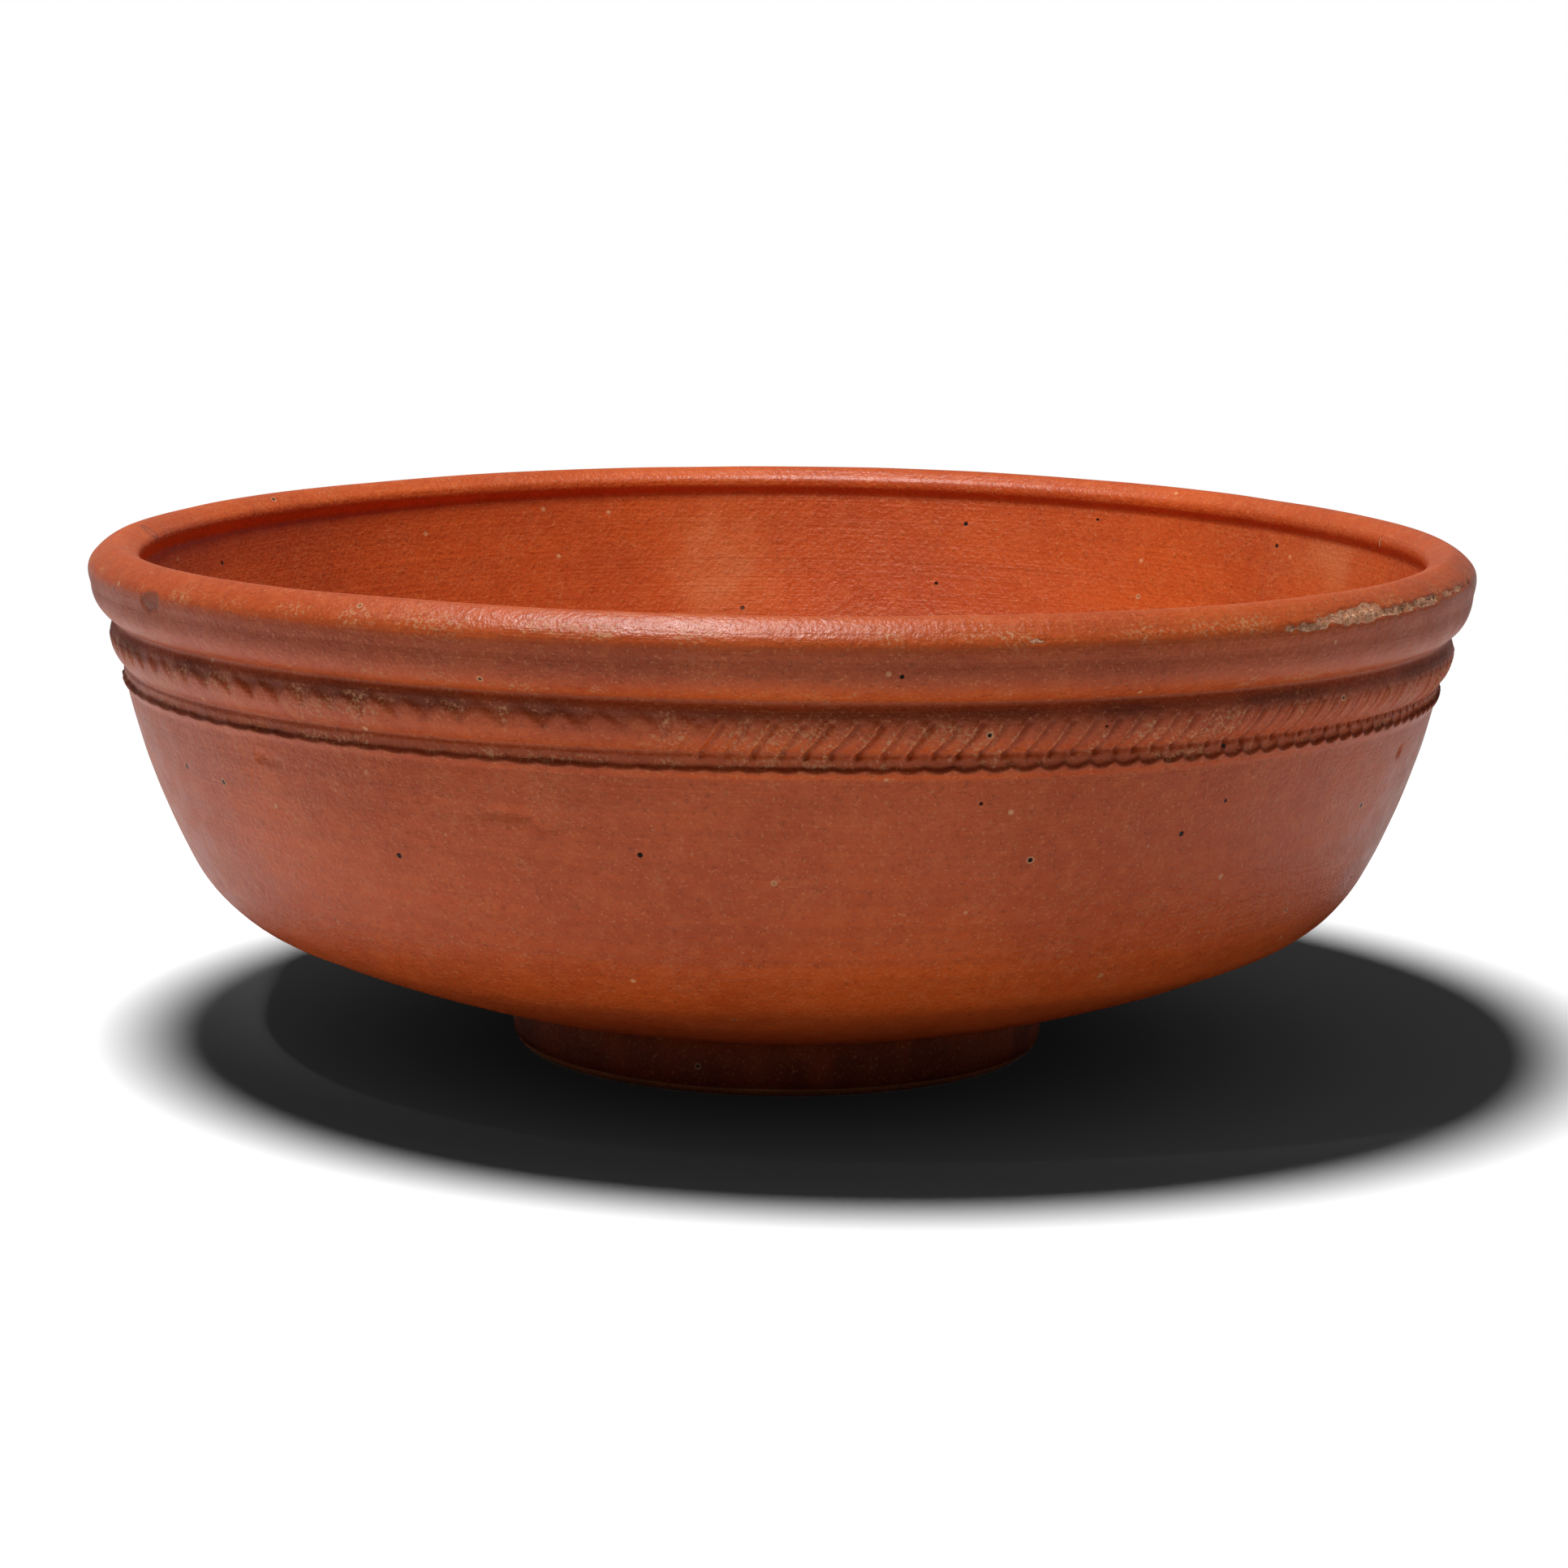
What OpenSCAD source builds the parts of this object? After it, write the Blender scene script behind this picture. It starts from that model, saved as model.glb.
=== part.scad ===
/* [Bowl] */
// Diameter over the lip
rim_d = 180; // [150:1:210]
// Height from the table to the top of the lip
bowl_h = 68; // [60:0.1:76]
// Thickness of the upper wall, slip included
wall_t = 4.9; // [4:0.1:6]
// Thickness of the floor at its centre, slip included
floor_t = 6.6; // [5:0.1:8]

/* [Lip] */
// Width of the thickened lip
lip_w = 6.9; // [6:0.1:8]
// How far the lip overhangs the inside wall
lip_over = 0.8; // [0.5:0.1:1.2]

/* [Mouldings] */
// How far in from the lip the upper ridge stands
upper_in = 2.6; // [2.2:0.1:3]
// How far in from the lip the lower ridge stands
lower_in = 4; // [3.6:0.1:4.4]
// Drop from the top of the lip to the notch above the upper ridge
upper_drop = 9.4; // [9:0.1:10]
// Drop from the top of the lip to the notch above the lower ridge
lower_drop = 15.4; // [15:0.1:16]

/* [Rouletting] */
// Number of beads left standing on the lower ridge
bead_count = 150; // [100:2:160]
// Number of slanting cuts in the band between the ridges
slash_count = 225; // [120:3:240]
// Lean of the slanting cuts from upright, in degrees
slash_lean = 27; // [15:1:35]
// Depth of the notches between the beads
notch_depth = 0.5; // [0.35:0.05:0.55]
// Depth of the slanting cuts
slash_depth = 0.3; // [0.2:0.05:0.35]

/* [Foot] */
// Outside diameter of the foot ring where it meets the bowl
foot_d = 71.4; // [64:0.2:78]
// Height of the foot ring
foot_h = 7; // [6:0.1:8]
// Thickness of the foot ring
foot_t = 5.4; // [4.5:0.1:6]
// Thickness of the clay slurry that joins the foot ring to the bowl
luting_t = 0.6; // [0.4:0.1:0.8]
// Number of scored rings that key the joint
key_count = 2; // [1:1:3]

/* [Slip] */
// Thickness of the glossy slip
slip_t = 0.25; // [0.2:0.05:0.3]

/* [Hidden] */
$fn = 180;

clay_colour = "#c98f62";
foot_colour = "#bd8258";
luting_colour = "#d9a97c";
slip_colour = "#b4502a";

rim_r = rim_d / 2;
lip_in_r = rim_r - lip_w;
wall_in_r = lip_in_r + lip_over;

// Points on a circular arc from a to b, without a. The arc stands s to the
// left of the straight line, so a positive s swells out of the clay.
function bow(a, b, s, n) =
    let (d = b - a, len = norm(d), side = [-d[1], d[0]] / len)
    let (r = (len * len / 4 + s * s) / (2 * abs(s)), half = asin(len / (2 * r)))
    [for (i = [1:n]) let (t = half * (2 * i / n - 1))
        (a + b) / 2 + d / len * r * sin(t) + side * sign(s) * r * (cos(t) - cos(half))];

// Points on a quarter of an ellipse about c, from angle a0 to a1
function quarter(c, rx, ry, a0, a1, n) =
    [for (i = [0:n]) let (t = a0 + (a1 - a0) * i / n) c + [rx * cos(t), ry * sin(t)]];

// A path moved t into the clay, which is on its right-hand side. The first
// point stays on the axis of the bowl.
function inset(path, t) =
    [for (i = [0:len(path) - 1])
        let (a = path[max(0, i - 1)], b = path[min(len(path) - 1, i + 1)])
        let (d = i == 0 ? [1, 0] : (b - a) / norm(b - a))
        path[i] + t * [d[1], -d[0]]];

function reversed(path) = [for (i = [len(path) - 1:-1:0]) path[i]];

// Where the outside wall turns in to the shallow underside
turn_top = [rim_r * 0.858, foot_h + 20];
turn_low = [rim_r * 0.733, foot_h + 10];

// The recess inside the foot ring rises a little to the centre
recess_z = foot_h - 1;
recess_rise = 0.4;

// Inside of the bowl, from the centre of the floor up to the lip
floor_z = recess_z + recess_rise + floor_t;
floor_edge = [rim_r * 0.42, floor_z + 0.9];
turn_low_in = turn_low + wall_t * [-0.84, 0.8];
turn_top_in = turn_top + wall_t * [-0.97, 0.58];
wall_top_in = [wall_in_r, bowl_h - 4.4];
inside = concat(
    [[0, floor_z]],
    bow([0, floor_z], floor_edge, -0.3, 5),
    bow(floor_edge, turn_low_in, -0.7, 7),
    bow(turn_low_in, turn_top_in, -1.35, 9),
    bow(turn_top_in, wall_top_in, -1, 10)
);

// The lip: a small offset under its inner edge, a round inner edge, a broad
// top that falls to the inside and to a round outer edge, and an upright face
lip_seat = [wall_in_r - 0.1, bowl_h - 3.4];
lip_nose = [lip_in_r + 0.1, bowl_h - 2.7];
lip_bend = [lip_in_r + 1.1, bowl_h - 0.95];
lip_crown = [rim_r - 3.4, bowl_h];
lip_edge = [rim_r - 1.1, bowl_h - 1.25];
lip_side = [rim_r, bowl_h - 3.8];
lip_foot = [rim_r - 0.3, bowl_h - 5.2];
lip = concat(
    bow(wall_top_in, lip_seat, -0.12, 3),
    bow(lip_seat, lip_nose, 0.1, 3),
    bow(lip_nose, lip_bend, 0.35, 5),
    bow(lip_bend, lip_crown, 0.25, 5),
    bow(lip_crown, lip_edge, 0.2, 4),
    bow(lip_edge, lip_side, 0.28, 5),
    bow(lip_side, lip_foot, 0.05, 2)
);

// The hollow flank of the lip turns under to a notch, and the upper ridge
// stands out below it
upper_r = rim_r - upper_in;
lower_r = rim_r - lower_in;
upper_notch = [upper_r, bowl_h - upper_drop];
upper_root = [upper_r - 0.2, bowl_h - upper_drop - 3.2];
ridge_swell = 0.25;
upper_ridge = concat(
    bow(lip_foot, upper_notch, 0.4, 6),
    bow(upper_notch, upper_root, ridge_swell, 5)
);

// The band of slanting cuts turns under to a second notch, and the lower
// ridge with its beads stands out below that
lower_notch = [lower_r, bowl_h - lower_drop];
lower_root = [lower_r - 0.25, bowl_h - lower_drop - 2.9];
band_swell = 0.2;
band = concat(
    bow(upper_root, lower_notch, band_swell, 2),
    bow(lower_notch, lower_root, ridge_swell, 2)
);

// The outside wall, its low turn, and the shallow underside down to the foot
wall_top = lower_root + [-0.15, -0.3];
foot_top_r = foot_d / 2;
foot_top = [foot_top_r, foot_h];
wall = concat(
    [wall_top],
    bow(wall_top, turn_top, 0.75, 9),
    bow(turn_top, turn_low, 1.5, 9),
    bow(turn_low, foot_top + [0.3, 0.2], 1, 9)
);

// The foot tapers down a little and has a round lower edge
foot_low_r = foot_top_r - 0.6;
edge_r = 1.4;
slip_end = 0.5;
end_angle = asin((edge_r - slip_end) / edge_r);
foot_side = concat(
    [foot_top],
    bow(foot_top, [foot_low_r, edge_r], 0.05, 3),
    quarter([foot_low_r - edge_r, edge_r], edge_r, edge_r, -end_angle / 4, -end_angle, 3)
);

glossy = concat(inside, lip, upper_ridge, band, wall, foot_side);
clay_surface = inset(glossy, slip_t);

// Where the stretches of the clay surface begin and end in that list
foot_at = len(glossy) - len(foot_side);
band_at = len(inside) + len(lip) + len(upper_ridge);
wall_at = band_at + len(band);
// The coat is thicker under the wheel cuts, so the clay steps back there
under_cuts = 0.6;
clay_bowl = concat(
    [for (i = [0:band_at - 2]) clay_surface[i]],
    [clay_surface[band_at - 1] - [under_cuts, 0.1], clay_surface[wall_at] - [under_cuts, 0]],
    [for (i = [wall_at + 1:foot_at - 1]) clay_surface[i]]
);

// The joint: flat seats on the bowl and on the foot ring, scored with rings
seat_out_r = foot_top_r - slip_t;
seat_in_r = foot_top_r - foot_t;
seat_z = foot_h - luting_t;
clay_foot = concat(
    [[seat_out_r, foot_h]],
    [for (i = [foot_at + 1:len(glossy) - 1]) clay_surface[i]]
);
// The outer corner of the foot ring's seat lies on the clay surface
foot_fall = clay_foot[1] - clay_foot[0];
seat_corner = clay_foot[0] + foot_fall * (seat_z - foot_h) / foot_fall[1];
key_w = 0.9;
key_depth = 0.35;
// The scored rings on the seat at height z, cut in the direction up, from the
// outer edge to the inner one
function scored(z, up) =
    [for (k = [1:key_count])
        let (r = seat_out_r + (seat_in_r - seat_out_r) * k / (key_count + 1))
        each [[r + key_w / 2, z], [r, z + up * key_depth], [r - key_w / 2, z]]];

recess_edge = [seat_in_r - 2, recess_z];
recess = concat([recess_edge], bow(recess_edge, [0, recess_z + recess_rise], -0.25, 5));

module bowl_body() {
    color(clay_colour)
        rotate_extrude() {
            polygon(concat(
                clay_bowl,
                [clay_foot[0]],
                scored(foot_h, 1),
                [[seat_in_r, foot_h]],
                recess
            ));
        }
}

module foot_ring() {
    inner_low_r = seat_in_r + 0.5;
    inner_edge_r = 1.2;
    color(foot_colour)
        rotate_extrude() {
            polygon(concat(
                [for (p = clay_foot) if (p[1] < seat_z) p],
                [[foot_low_r - edge_r, 0], [inner_low_r + inner_edge_r, 0]],
                quarter([inner_low_r + inner_edge_r, inner_edge_r], inner_edge_r, inner_edge_r, 255, 180, 4),
                [[seat_in_r, seat_z]],
                reversed(scored(seat_z, -1)),
                [seat_corner]
            ));
        }
}

module luting_slip() {
    color(luting_colour)
        rotate_extrude() {
            polygon(concat(
                [clay_foot[0]],
                scored(foot_h, 1),
                [[seat_in_r, foot_h]],
                [recess_edge],
                bow(recess_edge, [seat_in_r, seat_z], -0.2, 5),
                reversed(scored(seat_z, -1)),
                [seat_corner]
            ));
        }
}

// Cuts of a toothed wheel: one edge of an upright square bar sinks depth into
// a face of radius r at height z. A cut leans to one side, and its bar tips
// outwards where the face does.
module wheel_cuts(count, r, z, depth, bar_w, bar_len, lean, tip) {
    for (i = [0:count - 1]) {
        rotate([0, 0, 360 * i / count])
            translate([r - depth, 0, z])
                rotate([0, tip, 0])
                    rotate([lean, 0, 0])
                        translate([bar_w / sqrt(2), 0, 0])
                            rotate([0, 0, 45])
                                cube([bar_w, bar_w, bar_len], center = true);
    }
}

module bead_notches() {
    face = (lower_notch + lower_root) / 2;
    wheel_cuts(bead_count, face[0] + ridge_swell, face[1], notch_depth, 1.2, 3.2, 0, 0);
}

module slashes() {
    face = (upper_root + lower_notch) / 2;
    fall = upper_root - lower_notch;
    tip = atan(fall[0] / fall[1]);
    wheel_cuts(slash_count, face[0] + band_swell, face[1], slash_depth, 0.8, 3, slash_lean, tip);
}

module slip_coat() {
    color(slip_colour)
        difference() {
            rotate_extrude() {
                polygon(concat(glossy, reversed(clay_foot), reversed(clay_bowl)));
            }
            bead_notches();
            slashes();
        }
}

bowl_body();
foot_ring();
luting_slip();
slip_coat();
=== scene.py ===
# %% [markdown]
# A red-slipped bowl. The real one is thrown on a wheel from fine clay, its
# outline turned with a profile tool, a toothed wheel rolled round two
# mouldings, and the leather-hard bowl dipped in a glossy slip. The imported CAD
# model gives the size. Everything below is worked out from its boxes.

# %% Load the frame
import math

import bmesh
import bpy
import numpy as np
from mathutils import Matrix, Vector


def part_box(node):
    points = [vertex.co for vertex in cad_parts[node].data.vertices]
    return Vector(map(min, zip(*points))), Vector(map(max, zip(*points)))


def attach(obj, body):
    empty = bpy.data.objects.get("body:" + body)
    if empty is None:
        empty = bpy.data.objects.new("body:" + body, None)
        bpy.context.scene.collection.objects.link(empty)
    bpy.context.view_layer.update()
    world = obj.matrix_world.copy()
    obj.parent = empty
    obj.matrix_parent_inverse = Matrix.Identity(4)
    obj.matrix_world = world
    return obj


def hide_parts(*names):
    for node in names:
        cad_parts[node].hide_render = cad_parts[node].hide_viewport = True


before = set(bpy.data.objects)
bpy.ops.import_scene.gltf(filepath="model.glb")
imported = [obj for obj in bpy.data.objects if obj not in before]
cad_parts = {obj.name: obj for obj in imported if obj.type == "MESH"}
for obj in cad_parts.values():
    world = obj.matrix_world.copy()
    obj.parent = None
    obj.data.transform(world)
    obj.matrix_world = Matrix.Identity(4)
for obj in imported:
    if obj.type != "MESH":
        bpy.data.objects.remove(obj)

MM = 0.001
DEG = math.radians(1)
FULL_TURN = 2 * math.pi
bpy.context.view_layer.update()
rim_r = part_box("slip_coat")[1].x / MM
bowl_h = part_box("slip_coat")[1].z / MM
slip_t = 0.25
foot_top_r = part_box("luting_slip")[1].x / MM + slip_t
print(f"lip radius {rim_r:.1f} mm, height {bowl_h:.1f} mm, foot radius {foot_top_r:.1f} mm")

# %% [markdown]
# The section. A turned bowl is one outline carried round an axis, so the
# outline comes first: named turning points in millimetres, joined by shallow
# arcs. Places on the lip count from its radius and from the top, and places
# near the foot count from the top of the foot.

# %% Turning points inside and on the lip
foot_h = 7.0
floor_z = foot_h + 6.0
wall_in_r = rim_r - 6.4

floor_edge = (rim_r * 0.42, floor_z + 0.9)
turn_low_in = (rim_r * 0.733 - 4.1, foot_h + 13.9)
turn_top_in = (rim_r * 0.858 - 4.75, foot_h + 22.8)
wall_top_in = (wall_in_r, bowl_h - 4.4)
lip_seat = (wall_in_r - 0.05, bowl_h - 3.5)
lip_nose = (rim_r - 6.8, bowl_h - 2.7)
lip_bend = (rim_r - 5.8, bowl_h - 0.95)
lip_crown = (rim_r - 3.4, bowl_h)
lip_edge = (rim_r - 0.78, bowl_h - 1.85)
lip_side = (rim_r, bowl_h - 3.8)
lip_foot = (rim_r - 0.3, bowl_h - 5.2)
print(f"the lip is {lip_side[0] - wall_top_in[0]:.1f} mm thick")

# %% Turning points of the mouldings, the wall and the foot
upper_r = rim_r - 2.6
lower_r = rim_r - 4.0

flank_low = (rim_r - 1.6, bowl_h - 8.6)
upper_notch = (upper_r - 0.8, bowl_h - 9.95)
upper_ridge = (upper_r, bowl_h - 11.95)
lower_notch = (lower_r - 0.65, bowl_h - 16.0)
lower_ridge = (lower_r, bowl_h - 17.5)
wall_top = (lower_r - 0.75, bowl_h - 18.9)
turn_top = (rim_r * 0.858, foot_h + 20)
turn_low = (rim_r * 0.733, foot_h + 10)
junction = (foot_top_r + 0.3, foot_h + 0.2)
foot_top = (foot_top_r, foot_h)
foot_side = (foot_top_r - 0.6, 1.4)
foot_edge = (foot_top_r - 1.05, 0.5)
slip_end = (foot_top_r - 1.4, 0.75)
print(f"the band between the ridges is {upper_ridge[1] - lower_ridge[1]:.1f} mm high")

# %% [markdown]
# Each leg is an arc between two turning points, with its name and how far it
# swells out of the clay. A name later finds its place along the outline.

# %% Join them by arcs
SAMPLE = 0.05


def bow(a, b, rise):
    """Points on an arc from a to b that swells out of the clay by rise, without a."""
    a, b = np.array(a), np.array(b)
    chord = b - a
    length = np.hypot(*chord)
    out = np.array([-chord[1], chord[0]]) / length
    steps = max(2, int(length / SAMPLE))
    t = np.linspace(0, 1, steps + 1)[1:, None]
    return a + chord * t + out * rise * 4 * t * (1 - t)


legs = [
    ("floor", (0, floor_z), floor_edge, -0.3),
    ("floor turn", floor_edge, turn_low_in, -0.7),
    ("inner turn", turn_low_in, turn_top_in, -1.35),
    ("inner wall", turn_top_in, wall_top_in, -1.0),
    ("offset", wall_top_in, lip_seat, -0.12),
    ("nose", lip_seat, lip_nose, 0.1),
    ("bend", lip_nose, lip_bend, 0.35),
    ("crown", lip_bend, lip_crown, 0.25),
    ("slope", lip_crown, lip_edge, 0.2),
    ("shoulder", lip_edge, lip_side, 0.24),
    ("side", lip_side, lip_foot, 0.05),
    ("flank", lip_foot, flank_low, 0.3),
    ("under flank", flank_low, upper_notch, 0.12),
    ("upper face", upper_notch, upper_ridge, 0.15),
    ("band", upper_ridge, lower_notch, 0.5),
    ("lower face", lower_notch, lower_ridge, 0.12),
    ("groove", lower_ridge, wall_top, 0.12),
    ("wall", wall_top, turn_top, 0.75),
    ("turn", turn_top, turn_low, 1.5),
    ("underside", turn_low, junction, 1.0),
    ("junction", junction, foot_top, -0.05),
    ("foot", foot_top, foot_side, 0.05),
    ("foot edge", foot_side, foot_edge, 0.12),
    ("slip end", foot_edge, slip_end, 0.02),
]
path = [np.array([[0.0, floor_z]])]
starts = {}
for name, a, b, rise in legs:
    starts[name] = sum(len(p) for p in path) - 1
    path.append(bow(a, b, rise))
path = np.concatenate(path)
print(f"{len(legs)} arcs")

# %% [markdown]
# Slip rounds every edge of the turned clay, so the path is smoothed a little
# before the distance along it is measured.

# %% Soften the path and measure along it
SOFT = 0.2
reach = int(3 * SOFT / SAMPLE)
kernel = np.exp(-0.5 * (np.arange(-reach, reach + 1) * SAMPLE / SOFT) ** 2)
kernel /= kernel.sum()
before = path[:1] + (path[:1] - path[reach:0:-1])
after = path[-1:] + (path[-1:] - path[-2:-reach - 2:-1])
padded = np.concatenate([before, path, after])
smooth = np.stack([np.convolve(padded[:, k], kernel, "valid") for k in (0, 1)], 1)
smooth[0] = path[0]
run = np.concatenate([[0], np.cumsum(np.hypot(*np.diff(smooth, axis=0).T))])
at = {name: run[i] for name, i in starts.items()}
at["end"] = run[-1]
tangent = np.gradient(smooth, axis=0)
tangent /= np.hypot(*tangent.T)[:, None]
outward = np.stack([-tangent[:, 1], tangent[:, 0]], 1)
print(f"the section is {run[-1]:.1f} mm long from the floor's centre to the end of the slip")


def section(s):
    """Radius, height and outward direction of the outline, s mm along it."""
    columns = (smooth[:, 0], smooth[:, 1], outward[:, 0], outward[:, 1])
    return tuple(np.interp(s, run, column) for column in columns)


# %% [markdown]
# The bowl warped as it dried: the lip is a little higher at the front and
# back than at the sides, and it rises in one place at the right. The warp
# fades out at the foot.

# %% Warp of the drying bowl
WARP, WARP_TURN = 0.597, -6.6 * DEG
RISE, RISE_TURN, RISE_WIDTH = 0.9, 76 * DEG, 20 * DEG


def ramp(value, low, high):
    """Runs smoothly from 0 at low to 1 at high."""
    t = np.clip((value - low) / (high - low), 0, 1)
    return t * t * (3 - 2 * t)


def near(value, place, width):
    """A soft bump: 1 at place, fading over about twice the width."""
    return np.exp(-0.5 * ((value - place) / width) ** 2)


def warped(theta, height):
    """Height after drying. Theta is 0 at the front and grows to the right."""
    fade = np.clip((height - foot_h) / (bowl_h - foot_h), 0, 1)
    saddle = WARP * fade * (1 - np.cos(2 * (theta - WARP_TURN)))
    local = RISE * near(theta, RISE_TURN, RISE_WIDTH) * ramp(height, bowl_h - 9, bowl_h - 2)
    return height - saddle + local


print(f"the sides of the lip fell {2 * WARP:.1f} mm")

# %% [markdown]
# A sheet of the skin. A flat grid is rolled up: its long side goes round the
# axis and its short side along the outline, and the two ends are merged. All
# hand and wheel marks are then pressed into it along the outline's normal,
# and where a mark shows in the colour it is kept as a layer on the points.

# %% Uneven patches
ROWS = 512


def patchy(theta, s, cell, seed):
    """Soft random values from -1 to 1 in patches of about cell mm, the same at both ends of a turn."""
    around = max(4, round(FULL_TURN * rim_r / cell))
    rng = np.random.default_rng(seed)
    grid = rng.uniform(-1, 1, (around, ROWS))
    u, v = (theta / FULL_TURN % 1) * around, s / cell
    i, j = np.floor(u).astype(int), np.floor(v).astype(int)
    fu, fv = ramp(u - i, 0, 1), ramp(v - j, 0, 1)
    low = grid[i % around, j % ROWS] * (1 - fu) + grid[(i + 1) % around, j % ROWS] * fu
    high = grid[i % around, (j + 1) % ROWS] * (1 - fu) + grid[(i + 1) % around, (j + 1) % ROWS] * fu
    return low * (1 - fv) + high * fv


# %% Roll a sheet
def places(a, b, step):
    """Places from a to b along the outline, about step mm apart."""
    return list(np.linspace(a, b, max(2, round((b - a) / step) + 1)))


def flat_grid(name, steps, rows):
    """A grid one unit wide and long, as a bmesh, a new mesh and the places of its points."""
    bm = bmesh.new()
    bmesh.ops.create_grid(bm, x_segments=steps, y_segments=rows, size=0.5)
    mesh = bpy.data.meshes.new(name)
    bm.to_mesh(mesh)
    flat = np.zeros(len(mesh.vertices) * 3)
    mesh.vertices.foreach_get("co", flat)
    return bm, mesh, flat.reshape(-1, 3)


def rolled(name, stops, steps, relief):
    """A sheet through the given places along the outline, pressed in by relief(theta, s)."""
    rows = len(stops) - 1
    bm, mesh, flat = flat_grid(name, steps, rows)
    theta = -flat[:, 0] * FULL_TURN
    s = np.array(stops)[np.rint((flat[:, 1] + 0.5) * rows).astype(int)]
    radius, height, out_r, out_z = section(s)
    layers = {"along": s, **relief(theta, s)}
    press = layers.pop("press")
    radius, height = radius - out_r * press, height - out_z * press
    height = warped(theta, height)
    co = np.stack([radius * np.sin(theta), -radius * np.cos(theta), height], 1) * MM

    made = {key: bm.verts.layers.float.new(key) for key in layers}
    for k, vert in enumerate(bm.verts):
        vert.co = co[k]
        for key, layer in made.items():
            vert[layer] = layers[key][k]
    bmesh.ops.remove_doubles(bm, verts=bm.verts, dist=1e-6)
    bm.to_mesh(mesh)
    bm.free()
    mesh.shade_smooth()
    piece = bpy.data.objects.new(name, mesh)
    bpy.context.scene.collection.objects.link(piece)
    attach(piece, "root")
    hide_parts("slip_coat")
    print(f"{name}: {sum(len(p.vertices) - 2 for p in mesh.polygons)} triangles")
    return piece


# %% [markdown]
# Marks of the toothed wheel. On the lower ridge it left a row of scoops with
# a rounded brim, which look like hanging beads. In the band above it left
# slanting cuts, and on the left, where it rolled unevenly, a row of pointed
# teeth. The wheel slipped a little, so the spacing grows from right to left.

# %% Wheel marks: beads
BEADS, CUTS, TEETH = 150, 184, 116
LEFT, LEFT_BLEND = -14 * DEG, 0.3
BACK_LEFT = -120 * DEG


def turns(theta, count, drift, slant, s, origin):
    """Which mark of the wheel a place belongs to: whole numbers lie at the middle of a mark."""
    return count / FULL_TURN * (theta - drift * np.cos(theta)) + slant * (s - origin)


def beads(theta, s, uneven):
    """How deep the scoops of the lower ridge are, where they are, and where shade is painted under their
    brim.
    """
    face, root = at["lower face"], at["groove"]
    scoop = turns(theta, BEADS, 0.3, 0.12 * np.sin(theta), s, root) + 0.06 * patchy(theta, s, 5, 14)
    aside = np.abs(scoop - np.round(scoop)) / 0.5
    crisp = 0.35 + 0.65 * np.maximum(ramp(theta, -0.1, 0.5), ramp(-theta, 1.3, 1.8))
    brim = root + 0.5 - 0.8 * crisp * aside ** 2
    bead = ramp(s, face + 0.2, face + 1.3) * (1 - ramp(s, brim - 0.25, brim + 0.2))
    press = 0.62 * uneven * bead * (1 - 0.85 * crisp * aside ** 2.5)
    # painted shade on the lower part of each scoop, just above its brim
    shade = 0.7 * ramp(s, brim - 0.9, brim - 0.2) * (1 - ramp(s, brim + 0.05, brim + 0.4))
    return press, bead, shade


print(f"beads {FULL_TURN * lower_r / BEADS:.1f} mm apart on average")


# %% Wheel marks: slanting cuts and pointed teeth
def cuts(theta, s, uneven):
    """How deep the slanting cuts are, where they are, and where the clay stands up beside them."""
    face, band = at["lower face"], at["band"] + 0.4
    pitch = FULL_TURN * lower_r / CUTS
    cut = turns(theta, CUTS, 0.2, 0.55 / pitch, s, band) + 0.12 * patchy(theta, s, 5, 12)
    off = (cut - np.round(cut)) * pitch
    deep = np.where(np.round(cut) % 2 == 0, 1.0, 0.6)
    stretch = ramp(s, band - 0.6, band + 0.2) * (1 - ramp(s, face - 0.2, face + 0.9))
    groove = stretch * np.exp(-(off / 0.4) ** 2)
    burr = stretch * np.exp(-((off + 0.75) / 0.36) ** 2)
    return 0.5 * deep * uneven * (groove - 0.6 * burr), groove, burr


def teeth(theta, s, uneven):
    """How deep the hollows between the pointed teeth are, and where they are."""
    band = at["band"] + 0.4
    tooth = turns(theta, TEETH, -0.02, -0.05, s, band) + 0.16 * patchy(theta, s, 6, 13)
    across = np.abs(tooth - np.round(tooth)) * FULL_TURN * upper_r / TEETH
    half_width = 2.3 * ramp(s, band - 1.6, band + 1.6)
    top = ramp(s, band - 1.6, band - 0.4) * (1 - ramp(s, band + 1.0, band + 2.0))
    hollow = top * ramp(across - half_width, -0.8, 1.2)
    soft = 0.45 + 0.55 * (1 - ramp(np.abs(theta + 0.6), 0.25, 0.6))
    return 0.5 * soft * uneven * hollow, hollow


def wheel_marks(theta, s):
    """How deep the wheel pressed, where it made a bead, where dust and a painted highlight lie, and where
    shade is painted.
    """
    uneven = 1 + 0.45 * patchy(theta, s, 9, 11)
    right = ramp(theta, LEFT, LEFT + LEFT_BLEND) + (theta < BACK_LEFT)
    press, bead, shade = beads(theta, s, uneven)
    cut_press, groove, burr = cuts(theta, s, uneven)
    tooth_press, hollow = teeth(theta, s, uneven)
    press = press + right * cut_press + (1 - right) * tooth_press
    # painted shade in the grooves of the cuts, between the teeth and under the brim of the beads
    shade = shade + 0.55 * right * groove + 0.35 * (1 - right) * hollow
    # dust in the hollows between the teeth; the pale lips beside the cuts are partly dust and partly a
    # painted highlight
    dust_and_painted_highlight = np.clip(1.1 * right * burr + 0.7 * (1 - right) * hollow, 0, 1)
    return press, bead, dust_and_painted_highlight, shade


print(f"cuts {FULL_TURN * lower_r / CUTS:.1f} mm and teeth {FULL_TURN * upper_r / TEETH:.1f} mm apart")

# %% [markdown]
# Damage and wear. The lip is chipped at the front right, where the granular
# clay shows, and bruised at the left. The wall has a few gouges, and the
# inside has pale blooms and a stain. Each mark is a soft-edged dent, given by
# its turn in degrees, its place along the outline, and half its size in mm.

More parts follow.
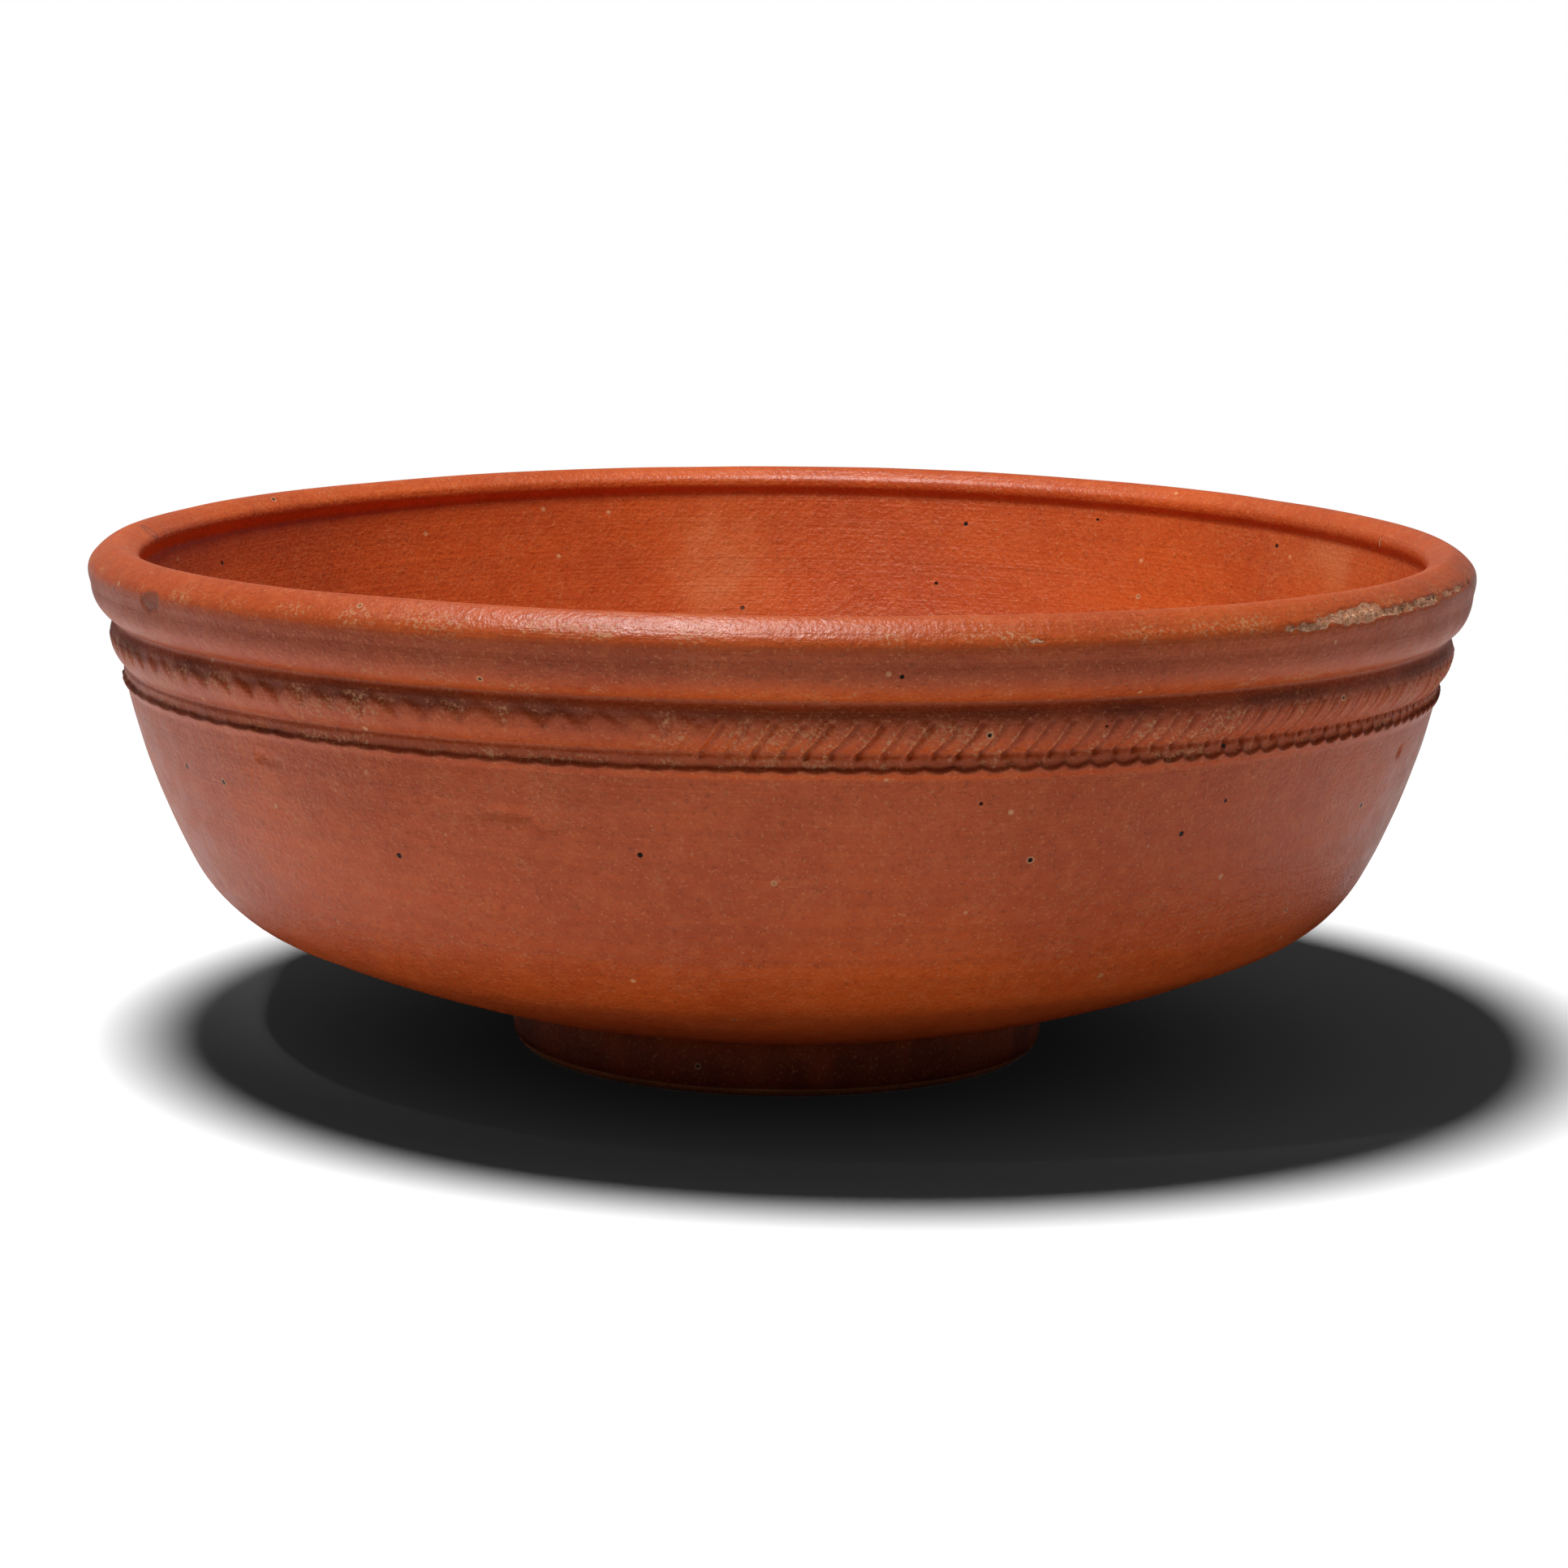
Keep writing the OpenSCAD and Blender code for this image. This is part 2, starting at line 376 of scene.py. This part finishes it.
# %% One dent
def dent(theta, s, turn, place, half_w, half_h, lean=0.0, ragged=0.25, seed=1):
    """1 in the middle of an oval mark, 0 outside it, with a ragged edge."""
    up = s - place
    across = (theta - turn * DEG) * rim_r + lean * up
    wide = np.hypot(across / half_w, up / half_h) + ragged * patchy(theta, s, 1.3, seed)
    return 1 - ramp(wide, 0.8, 1.1)


# %% Chips, gouges, stain and blooms
edge_at = at["shoulder"]
chips = (
    # share, turn, place, half width, half height, raggedness, seed
    (1.0, 47.3, edge_at + 0.75, 4.8, 1.05, 0.3, 31),
    (1.0, 50.6, edge_at + 0.7, 3.0, 1.3, 0.3, 36),
    (1.0, 54.5, edge_at + 1.0, 5.5, 0.6, 0.35, 33),
    (1.0, 60, edge_at + 0.9, 4.2, 0.7, 0.35, 32),
    (0.8, 42.5, edge_at + 1.2, 3.0, 0.6, 0.6, 34),
    (0.7, 68, edge_at + 0.8, 7, 0.35, 0.7, 35),
    (0.8, -9.8, at["crown"] + 2.3, 1.7, 0.35, 0.2, 37),
    (0.8, 18.5, edge_at + 1.0, 1.2, 0.25, 0.2, 38),
)
gouges = (
    # turn, drop below the top of the wall, half width, half height, lean, depth
    (-45.5, 2.6, 2.2, 0.55, -0.8, 0.32),
    (-22, 5.8, 3.6, 0.5, -0.5, 0.3),
    (-18.5, 7.2, 2.6, 0.45, -0.6, 0.25),
    (64.8, 3.2, 0.9, 0.9, 0.3, 0.25),
    (-16, 12, 2.5, 0.5, -0.4, 0.18),
    (-30, 9, 2.0, 0.5, -0.4, 0.15),
)
blooms = (
    # turn, place along the inner wall, width and height
    (114, 33, 10, 4),
    (-173.5, 25, 7, 9),
)


def damage(theta, s):
    """How deep the damage is, and where clay is bare, where slip is dark and where it is pale."""
    grain = patchy(theta, s, 0.7, 21) + 0.6 * patchy(theta, s, 0.45, 22)
    scratch = 0.7 * dent(theta, s, 103.8, at["bend"] + 0.4, 0.3, 1.5, 0.2, 0.1, 39)
    chip = np.maximum.reduce([scratch] + [
        share * dent(theta, s, turn, place, half_w, half_h, 0.0, ragged, seed)
        for share, turn, place, half_w, half_h, ragged, seed in chips
    ])
    scar = dent(theta, s, -57.5, at["side"] + 0.1, 2.6, 1.3, 0.2, 0.2, 41)
    press = chip * (0.2 + 0.1 * grain) + scar * 0.2
    for turn, drop, half_w, half_h, lean, depth in gouges:
        press += depth * dent(theta, s, turn, at["wall"] + drop, half_w, half_h, lean, 0.35, 51)

    stain_r = np.hypot((theta + 94.5 * DEG) * rim_r, s - at["bend"] - 1.9)
    scar = np.maximum(scar, 1.2 * np.exp(-((stain_r - 1.3) / 0.45) ** 2))
    bloom = np.maximum.reduce([
        np.exp(-((theta - turn * DEG) * rim_r / width) ** 2 - ((s - at["inner wall"] - up) / high) ** 2)
        for turn, up, width, high in blooms
    ])
    return press, chip, scar, bloom * (0.6 + 0.4 * patchy(theta, s, 3, 52))


print(f"{len(chips)} chips, {len(gouges)} gouges")

# %% [markdown]
# All marks together. Edges are worn, and the band is lightened with painted light. Under the ridges, on
# the flank under the lip and down at the foot the slip is darkened with painted shade. The profile tool
# was held by hand, which leaves a slow unevenness.
# The sheets lie a little inside the CAD's box, so that no mark stands out of it.

# %% Relief
INSET = 0.13


def hand(theta, s):
    """The slow unevenness of a hand-held profile tool, and the inset."""
    wander = 0.1 * patchy(theta, s, 24, 61) + 0.035 * patchy(theta, s * 2.5, 9, 62)
    return INSET + wander * ramp(s, 6, 30)


def relief(theta, s):
    """How deep all marks press, how bare, worn, dark or pale each place is, and where shade and light are
    painted.
    """
    marks, bead, dust_and_painted_highlight, shade = wheel_marks(theta, s)
    hurt, chip, scar, bloom = damage(theta, s)
    band = ramp(s, at["band"] - 0.2, at["band"] + 0.8)
    band *= 1 - ramp(s, at["lower face"] - 1, at["lower face"])
    # wear on beads, edges and ridges; the band's share is painted light that lightens it all over, and the
    # cut lips carry a painted highlight
    wear_and_painted_light = 0.5 * bead + 0.3 * band + 0.8 * dust_and_painted_highlight
    wear_and_painted_light += 0.4 * near(s, at["under flank"] + 0.5, 0.7) + 0.5 * near(s, at["shoulder"] + 0.3, 0.8)
    # painted shade: darker under the upper and the lower ridge, in the wheel marks, on the flank under the
    # lip and down at the foot
    painted_shade = near(s, at["upper face"] + 1.35, 0.88) + 0.4 * near(s, at["lower face"] + 0.9, 0.6)
    painted_shade += shade + 0.35 * near(s, at["flank"] + 0.6, 1.3)
    painted_shade += ramp(s, at["junction"] - 3, at["junction"] + 1)
    painted_shade *= 0.85 + 0.3 * patchy(theta, s, 7, 63)
    return {
        "press": marks + hurt + hand(theta, s), "bare": chip, "wear_and_painted_light": np.clip(wear_and_painted_light, 0, 1),
        "scar": scar, "painted_shade": np.clip(painted_shade, 0, 1), "bloom": bloom,
    }


print(f"every sheet lies {INSET} mm inside the outline")

# %% [markdown]
# The slip in sheets that share their edges, finer where the relief is finer.

# %% Make the sheets
lip_low, flank_end = at["offset"] - 2, at["flank"] + 2.6
beads_top, wall_start = at["lower face"] - 0.2, at["wall"] + 0.5
turn_start = at["turn"] + 2
skins = [
    rolled("slip_inside", places(0, lip_low, 1.5), 900, relief),
    rolled("slip_lip", places(lip_low, flank_end, 0.3), 1600, relief),
    rolled("slip_band", places(flank_end, beads_top, 0.24), 2400, relief),
    rolled("slip_beads", places(beads_top, wall_start, 0.18), 2400, relief),
    rolled("slip_wall", places(wall_start, turn_start, 0.55), 1600, relief),
    rolled("slip_foot", places(turn_start, at["end"], 1.1), 960, relief),
]

# %% [markdown]
# The clay inside the slip, which lies deeper than the deepest chip. It is
# the same outline moved inwards, closed by the flat seat under the foot ring
# with its two scored rings and by the hollow underside, and spun once round.

# %% Outline of the clay core
CORE = 1.9
core_at = np.array(places(0, at["junction"] - 6, 1.0))
core_r, core_z, core_out_r, core_out_z = section(core_at)
seat_out_r, seat_in_r = foot_top_r - slip_t, foot_top_r - 5.4
core = list(zip(core_r - core_out_r * CORE, core_z - core_out_z * CORE))
core[0] = (0, core[0][1])
core += [(seat_out_r, foot_h)]
for k in (1, 2):
    score_r = seat_out_r + (seat_in_r - seat_out_r) * k / 3
    core += [(score_r + 0.45, foot_h), (score_r, foot_h + 0.35), (score_r - 0.45, foot_h)]
core += [(seat_in_r, foot_h), (seat_in_r - 2, foot_h - 1)]
core += [tuple(p) for p in bow((seat_in_r - 2, foot_h - 1), (0, foot_h - 0.6), -0.25)[::40]]
core += [(0, foot_h - 0.6)]
print(f"{len(core)} points")

# %% Spin the clay core
bm = bmesh.new()
row = [bm.verts.new((0, -r * MM, z * MM)) for r, z in core]
strip = [bm.edges.new(pair) for pair in zip(row, row[1:])]
bmesh.ops.spin(bm, geom=row + strip, cent=(0, 0, 0), axis=(0, 0, 1), angle=FULL_TURN,
               steps=240, use_merge=True)
bmesh.ops.remove_doubles(bm, verts=bm.verts, dist=1e-6)
for vert in bm.verts:
    vert.co.z = warped(math.atan2(vert.co.x, -vert.co.y), vert.co.z / MM) * MM
bmesh.ops.recalc_face_normals(bm, faces=bm.faces)
mesh = bpy.data.meshes.new("clay_core")
bm.to_mesh(mesh)
bm.free()
mesh.shade_smooth()
clay_core = bpy.data.objects.new("clay_core", mesh)
bpy.context.scene.collection.objects.link(clay_core)
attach(clay_core, "root")
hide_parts("bowl_body")
print(f"clay_core: {len(mesh.polygons)} faces")

# %% [markdown]
# Materials. One function adds a node, with its properties and its sockets.
# A socket gets a value, or the output of another node, which is then linked.

# %% Colour and node helpers
def srgb(text):
    """A hex colour as the linear colour that a shader works with."""
    parts = [int(text[i:i + 2], 16) / 255 for i in (1, 3, 5)]
    return [c / 12.92 if c <= 0.04045 else ((c + 0.055) / 1.055) ** 2.4 for c in parts] + [1]


def node(tree, kind, out=0, **settings):
    """Adds one node and returns one of its outputs. A setting names a property, or a socket by its
    name or by an underscore and its number."""
    made = tree.nodes.new(kind)
    for key, value in settings.items():
        if hasattr(made, key):
            setattr(made, key, value)
            continue
        socket = made.inputs[int(key[1:]) if key[0] == "_" else key.replace("_", " ")]
        if isinstance(value, bpy.types.NodeSocket):
            tree.links.new(value, socket)
        else:
            socket.default_value = value
    return made.outputs[out]


def material(name):
    """A new node material, its tree and its Principled shader."""
    made = bpy.data.materials.new(name)
    made.use_nodes = True
    return made, made.node_tree, made.node_tree.nodes["Principled BSDF"]


SOFTLY = "SMOOTHSTEP"
print("helpers ready")

# %% [markdown]
# Red slip, dipped and fired. It is a thin film of the finest clay, sintered
# in the kiln, so it is smoother than the body and only half glossy. Its tone
# wanders over some centimetres, and fine streaks follow the turning: the
# second pattern is stretched round the bowl and fine along the outline.

# %% Red slip: where the patterns lie
slip, tree, shader = material("sintered red slip")
shader.inputs["Specular IOR Level"].default_value = 0.36
place = node(tree, "ShaderNodeTexCoord", "Object")
along = node(tree, "ShaderNodeAttribute", "Fac", attribute_name="along")
AROUND = (9, 9, 0)
round_axis = node(tree, "ShaderNodeVectorMath", operation="MULTIPLY", _0=place, _1=AROUND)
along_z = node(tree, "ShaderNodeCombineXYZ", Z=along)
turned = node(tree, "ShaderNodeVectorMath", operation="ADD", _0=round_axis, _1=along_z)
print("the wheel's pattern is scaled by", AROUND)

# %% Red slip: noises, each with its ramp
slip_noises = (
    # name, where, scale, detail, roughness, from, to, low, high
    ("tone", place, 38, 3, 0.55, 0.35, 0.65, 0, 1),
    ("streak", turned, 0.9, 4, 0.55, 0.35, 0.7, 0, 1),
    ("mottle", place, 520, 4, 0.55, 0.4, 0.75, 0, 1),
    ("grime", place, 1500, 3, 0.7, 0.52, 0.72, 0, 1),
    ("dusty", place, 2400, 2, 0.55, 0.6, 0.68, 0, 1),
    ("patch", place, 140, 5, 0.55, 0.4, 0.65, 0, 1),
    ("specks", place, 2100, 3, 0.7, 0.5, 0.6, 0, 1),
    ("chip edge", place, 1100, 2, 0.55, 0, 1, -0.25, 0.25),
    ("grit", place, 1300, 4, 0.7, 0.3, 0.7, 0, 1),
    ("sheen", place, 300, 3, 0.55, 0.3, 0.7, 0.33, 0.43),
)
slip_has = {}
for name, where, scale, detail, roughness, start, stop, low, high in slip_noises:
    field = node(tree, "ShaderNodeTexNoise", "Fac",
                 Vector=where, Scale=scale, Detail=detail, Roughness=roughness)
    slip_has[name] = node(tree, "ShaderNodeMapRange", interpolation_type=SOFTLY, Value=field,
                          From_Min=start, From_Max=stop, To_Min=low, To_Max=high)
# the dark layer is painted shade, and the wear layer is partly painted light in the band
for name in ("bare", "wear_and_painted_light", "scar", "painted_shade", "bloom"):
    slip_has[name] = node(tree, "ShaderNodeAttribute", "Fac", attribute_name=name)
print(f"{len(slip_has)} patterns")

# %% [markdown]
# Abrasion: the slip is rubbed thin on edges and beads, in specks and patches; in the band and on the lips
# of the cuts these pale specks are partly painted light.
# Lime specks and pinholes are cells of a Voronoi pattern, a few chosen by the
# cell's random colour: 2.4 mm cells for lime, and 4.8 mm cells for pinholes
# about 0.5 mm wide, some with a pale ring.

# %% Red slip: abrasion
spread = node(tree, "ShaderNodeMapRange", interpolation_type=SOFTLY, Value=slip_has["patch"],
              To_Min=-0.5, To_Max=0.35)
wear = node(tree, "ShaderNodeMath", operation="ADD", _0=slip_has["wear_and_painted_light"], _1=spread)
wear = node(tree, "ShaderNodeMapRange", interpolation_type=SOFTLY, Value=wear,
            From_Min=0.1, From_Max=0.9)
# pale specks of wear, in the band and on the cut lips partly painted light
slip_has["rubbed_and_painted_light"] = node(tree, "ShaderNodeMath", operation="MULTIPLY",
                          _0=wear, _1=slip_has["specks"])
print(f"the slip has {len(tree.nodes)} nodes so far")

# %% Red slip: lime specks and pinholes
spots = (
    # name, cells to a metre, ramp over the distance, ramp over the choice
    ("lime", 420, 0.2, 0.08, 0.965, 0.975),
    ("ring", 210, 0.13, 0.08, 0.86, 0.87),
    ("hole", 210, 0.075, 0.05, 0.68, 0.7),
)
for name, cells, outer, inner, few, chosen in spots:
    distance = node(tree, "ShaderNodeTexVoronoi", "Distance", Vector=place, Scale=cells)
    draw = node(tree, "ShaderNodeSeparateColor", Color=distance.node.outputs["Color"])
    disc = node(tree, "ShaderNodeMapRange", interpolation_type=SOFTLY, Value=distance,
                From_Min=outer, From_Max=inner)
    picked = node(tree, "ShaderNodeMapRange", interpolation_type=SOFTLY, Value=draw,
                  From_Min=few, From_Max=chosen)
    slip_has[name] = node(tree, "ShaderNodeMath", operation="MULTIPLY", _0=disc, _1=picked)
print(f"{len(spots)} kinds of spot")

# %% [markdown]
# The colour is laid on in coats, from the slip itself to what lies on top of
# it. A dark coat is painted shade in hollows and at the foot, the near-black of the pinholes is painted
# shade, and the pale rubbed coat is wear and partly painted light. In the chips the bare clay shows, which
# is granular and paler.

# %% Red slip: colour
coats = (
    # pattern, how much of it, colour
    ("streak", 0.3, "#A0421A"), ("mottle", 0.35, "#CC6630"), ("grime", 0.35, "#5E2410"),
    # the dark coat #4E1A06 is painted shade; the pale #C48E62 is wear, in the band and on the cut lips
    # partly painted light
    ("painted_shade", 0.7, "#4E1A06"), ("dusty", 0.35, "#D08A58"), ("rubbed_and_painted_light", 0.7, "#C48E62"),
    # the near-black #1A0C08 in the pinholes is painted shade
    ("lime", 0.6, "#D9A878"), ("ring", 0.6, "#C99A70"), ("hole", 1.0, "#1A0C08"),
    ("bare", 1.0, ("grit", "#D6845A", "#F8BC94")), ("scar", 0.5, "#6E3A24"),
    ("bloom", 0.45, "#D9925F"),
)
bare_edge = node(tree, "ShaderNodeMath", operation="ADD",
                 _0=slip_has["bare"], _1=slip_has["chip edge"])
slip_has["bare"] = node(tree, "ShaderNodeMapRange", interpolation_type=SOFTLY, Value=bare_edge,
                        From_Min=0.42, From_Max=0.55)
colour = node(tree, "ShaderNodeMix", 2, data_type="RGBA", _0=slip_has["tone"],
              _6=srgb("#B2481A"), _7=srgb("#C2521B"))
for name, share, tint in coats:
    if isinstance(tint, str):
        tint = srgb(tint)
    else:
        tint = node(tree, "ShaderNodeMix", 2, data_type="RGBA", _0=slip_has[tint[0]],
                    _6=srgb(tint[1]), _7=srgb(tint[2]))
    part = node(tree, "ShaderNodeMath", operation="MULTIPLY", _0=slip_has[name], _1=share)
    colour = node(tree, "ShaderNodeMix", 2, data_type="RGBA", _0=part, _6=colour, _7=tint)
tree.links.new(colour, shader.inputs["Base Color"])
print(f"{len(coats)} coats of colour")

# %% Red slip: gloss and fine surface
gloss = slip_has["sheen"]
# the painted shade and the rubbed specks also change the roughness
for name, share in (("bare", 0.45), ("rubbed_and_painted_light", 0.2), ("painted_shade", 0.25)):
    gloss = node(tree, "ShaderNodeMath", operation="MULTIPLY_ADD",
                 _0=slip_has[name], _1=share, _2=gloss)
tree.links.new(gloss, shader.inputs["Roughness"])

pebbles = node(tree, "ShaderNodeTexNoise", "Fac", Vector=place, Scale=1500, Detail=3, Roughness=0.55)
lines = node(tree, "ShaderNodeTexNoise", "Fac", Vector=turned, Scale=3.2, Detail=3, Roughness=0.55)
gritty = node(tree, "ShaderNodeMath", operation="MULTIPLY", _0=slip_has["bare"], _1=slip_has["grit"])
height = node(tree, "ShaderNodeMath", operation="MULTIPLY", _0=pebbles, _1=1.1)
for field, share in ((lines, 0.35), (slip_has["hole"], -4.0), (gritty, 3.0)):
    height = node(tree, "ShaderNodeMath", operation="MULTIPLY_ADD", _0=field, _1=share, _2=height)
bumpy = node(tree, "ShaderNodeBump", Height=height, Strength=1.0, Distance=0.00014)
tree.links.new(bumpy, shader.inputs["Normal"])
for piece in skins:
    piece.data.materials.append(slip)
print(f"slip on {len(skins)} sheets")

# %% [markdown]
# Fired clay, turned and wiped, on the core, the foot and the joint. It has no
# slip, so it is matt and grainy, and its pale grains are lime. The patterns
# have no place linked, so they are spread over the box of each piece.

# %% Fired clay
clay, tree, shader = material("fired clay, turned and wiped")
shader.inputs["Roughness"].default_value = 0.85
shader.inputs["Specular IOR Level"].default_value = 0.2
colour = srgb("#B9774A")
for scale, detail, start, stop, tint in ((160, 5, 0.35, 0.65, "#D09A6A"), (1400, 2, 0.62, 0.7, "#E0BC92")):
    field = node(tree, "ShaderNodeTexNoise", "Fac", Scale=scale, Detail=detail, Roughness=0.55)
    part = node(tree, "ShaderNodeMapRange", interpolation_type=SOFTLY, Value=field,
                From_Min=start, From_Max=stop)
    colour = node(tree, "ShaderNodeMix", 2, data_type="RGBA", _0=part, _6=colour, _7=srgb(tint))
tree.links.new(colour, shader.inputs["Base Color"])
grainy = node(tree, "ShaderNodeTexNoise", "Fac", Scale=900, Detail=4, Roughness=0.55)
bumpy = node(tree, "ShaderNodeBump", Height=grainy, Strength=0.6, Distance=0.00008)
tree.links.new(bumpy, shader.inputs["Normal"])
clay_core.data.materials.append(clay)
for name in ("foot_ring", "luting_slip"):
    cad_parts[name].data.materials.clear()
    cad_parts[name].data.materials.append(clay)
print("clay on the core, the foot ring and the joint")

# %% [markdown]
# The set. A white floor carries the shadow. How much light it gives back
# depends on what looks at it: the camera sees it just white outside the
# shadow, and in the shadow a faint painted glow that grows outwards; other light gets a plain white paper,
# and reflections get less of it in front than behind, where the backdrop rises.

# %% Floor
FLOOR = 40
bm = bmesh.new()
bmesh.ops.create_grid(bm, x_segments=1, y_segments=1, size=FLOOR)
mesh = bpy.data.meshes.new("floor")
bm.to_mesh(mesh)
bm.free()
floor = bpy.data.objects.new("floor", mesh)
bpy.context.scene.collection.objects.link(floor)
white, tree, shader = material("white paper, lit from above")
tree.nodes.remove(shader)
mesh.materials.append(white)
print(f"floor {2 * FLOOR} m wide")

# %% Floor: how white it is
seen = node(tree, "ShaderNodeLightPath", "Is Camera Ray")
glossy = seen.node.outputs["Is Glossy Ray"]
place = node(tree, "ShaderNodeTexCoord", "Object")
distance = node(tree, "ShaderNodeVectorMath", "Value", operation="LENGTH", _0=place)
behind = node(tree, "ShaderNodeSeparateXYZ", "Y", Vector=place)
floor_ramps = (
    # name, value, from, to, low, high
    ("gain", seen, 0, 1, 1.1, 1.4),
    ("less", behind, -0.14, 0.0, -0.95, -0.32),
    ("painted_shadow_glow", distance, 0.03, 0.1, 0.004, 0.026),
    ("far", distance, 0.13, 0.3, 0, 1),
    ("farther", distance, 0.35, 0.9, 0, 0.5),
)
paper_has = {}
for name, value, start, stop, low, high in floor_ramps:
    paper_has[name] = node(tree, "ShaderNodeMapRange", interpolation_type=SOFTLY, Value=value,
                           From_Min=start, From_Max=stop, To_Min=low, To_Max=high)
gain = node(tree, "ShaderNodeMath", operation="MULTIPLY_ADD",
            _0=glossy, _1=paper_has["less"], _2=paper_has["gain"])
# a faint painted glow in the shadow, seen only by the camera
painted_shadow_glow = node(tree, "ShaderNodeMath", operation="MULTIPLY", _0=paper_has["painted_shadow_glow"], _1=seen)
beyond = node(tree, "ShaderNodeMath", operation="MULTIPLY", _0=paper_has["far"], _1=seen)
beyond = node(tree, "ShaderNodeMath", operation="MULTIPLY_ADD",
              _0=paper_has["farther"], _1=glossy, _2=beyond)
print(f"{len(paper_has)} ramps")

# %% Floor: shader
paper = node(tree, "ShaderNodeBsdfDiffuse", Color=gain)
# the painted glow of the shadow
painted_glow_shader = node(tree, "ShaderNodeEmission", Strength=painted_shadow_glow)
paper_with_painted_glow = node(tree, "ShaderNodeAddShader", _0=paper, _1=painted_glow_shader)
glow = node(tree, "ShaderNodeEmission", Strength=1.0)
whole = node(tree, "ShaderNodeMixShader", _0=beyond, _1=paper_with_painted_glow, _2=glow)
tree.links.new(whole, tree.nodes["Material Output"].inputs["Surface"])
print(f"the floor's material has {len(tree.nodes)} nodes")

# %% [markdown]
# A one-way black card lies on the floor. Seen from above it is clear, and
# neither the camera nor the lamp meets it. It only stops the red light that
# the bowl sends down to the floor, so that the shadow is dark and neutral.

# %% Black card
CARD_R, CARD_Z = 0.2, 0.0002
FIRST_BOUNCE = 1.5
bm = bmesh.new()
bmesh.ops.create_circle(bm, cap_ends=True, segments=96, radius=CARD_R)
bmesh.ops.translate(bm, verts=bm.verts, vec=(0, 0, CARD_Z))
mesh = bpy.data.meshes.new("black_card")
bm.to_mesh(mesh)
bm.free()
card = bpy.data.objects.new("black_card", mesh)
bpy.context.scene.collection.objects.link(card)
card.visible_camera = False
card.visible_shadow = False
black, tree, shader = material("black felt")
shader.inputs["Base Color"].default_value = srgb("#030303")
shader.inputs["Specular IOR Level"].default_value = 0.0
clear = node(tree, "ShaderNodeBsdfTransparent")
below = node(tree, "ShaderNodeNewGeometry", "Backfacing")
depth = node(tree, "ShaderNodeLightPath", "Diffuse Depth")
first = node(tree, "ShaderNodeMath", operation="LESS_THAN", _0=depth, _1=FIRST_BOUNCE)
stops = node(tree, "ShaderNodeMath", operation="MULTIPLY", _0=below, _1=first)
one_way = node(tree, "ShaderNodeMixShader", _0=stops, _1=clear, _2=shader.outputs[0])
tree.links.new(one_way, tree.nodes["Material Output"].inputs["Surface"])
mesh.materials.append(black)
print(f"card {2 * CARD_R} m wide")

# %% [markdown]
# One lamp high up, a little to the left and in front, is as wide as the soft
# edge of the shadow tells. A narrow lamp lights the far inside of the bowl
# through the mouth. The world is white to the camera and dim to everything else.

# %% Lamps
def aim(thing, place, target):
    """Puts a lamp at place, shining at target. Both in metres."""
    x, y, z = (t - p for t, p in zip(target, place))
    thing.location = place
    thing.rotation_euler = (math.atan2(math.hypot(x, y), -z), 0, math.atan2(-x, y))


lamp = bpy.data.lights.new("overhead lamp", "AREA")
lamp.shape = "DISK"
lamp.size = 0.23
lamp.energy = 5.4
overhead = bpy.data.objects.new("overhead lamp", lamp)
aim(overhead, (-0.105, -0.069, 0.70), (0, 0, 0.05))
bpy.context.scene.collection.objects.link(overhead)

snoot = bpy.data.lights.new("narrow lamp", "SPOT")
snoot.energy = 3.9
snoot.spot_size = 17 * DEG
snoot.spot_blend = 0.6
snoot.shadow_soft_size = 0.05
narrow = bpy.data.objects.new("narrow lamp", snoot)
aim(narrow, (-0.20, -0.26, 0.56), (0.02, 0.05, 0.055))
bpy.context.scene.collection.objects.link(narrow)
print("overhead lamp at", tuple(overhead.location), "narrow lamp at", tuple(narrow.location))

# %% World
GLOSSY_SHARE = 0.3
world = bpy.data.worlds.new("studio")
world.use_nodes = True
bpy.context.scene.world = world
tree = world.node_tree
seen = node(tree, "ShaderNodeLightPath", "Is Camera Ray")
through = node(tree, "ShaderNodeMath", operation="MAXIMUM",
               _0=seen, _1=seen.node.outputs["Is Transmission Ray"])
mirrored = node(tree, "ShaderNodeMath", operation="MULTIPLY",
                _0=seen.node.outputs["Is Glossy Ray"], _1=GLOSSY_SHARE)
looked_at = node(tree, "ShaderNodeMath", operation="MAXIMUM", _0=through, _1=mirrored)
strength = node(tree, "ShaderNodeMapRange", interpolation_type=SOFTLY, Value=looked_at,
                To_Min=0.02, To_Max=1.0)
tree.links.new(strength, tree.nodes["Background"].inputs["Strength"])
tree.nodes["Background"].inputs["Color"].default_value = srgb("#FFFFFF")
print(f"reflections see {GLOSSY_SHARE} of the world")

# %% [markdown]
# The camera stands as the photo was taken: 54 cm in front, looking down by
# nearly 10 degrees, and rolled by less than one.

# %% Camera
LOOK_DOWN, ROLL = 9.753 * DEG, 0.719 * DEG
camera = bpy.data.cameras.new("camera")
camera.sensor_width = 36
camera.lens = 95.86
camera.shift_x = 0.0025
camera.shift_y = -0.0019
camera.clip_start = 0.01
camera_object = bpy.data.objects.new("camera", camera)
camera_object.location = (0, -0.54417, 0.12792)
camera_object.rotation_mode = "ZYX"
camera_object.rotation_euler = (90 * DEG - LOOK_DOWN, 0, ROLL)
bpy.context.scene.collection.objects.link(camera_object)
bpy.context.scene.camera = camera_object
bpy.context.scene.view_settings.view_transform = "Standard"
print(f"camera {-camera_object.location.y:.3f} m in front")
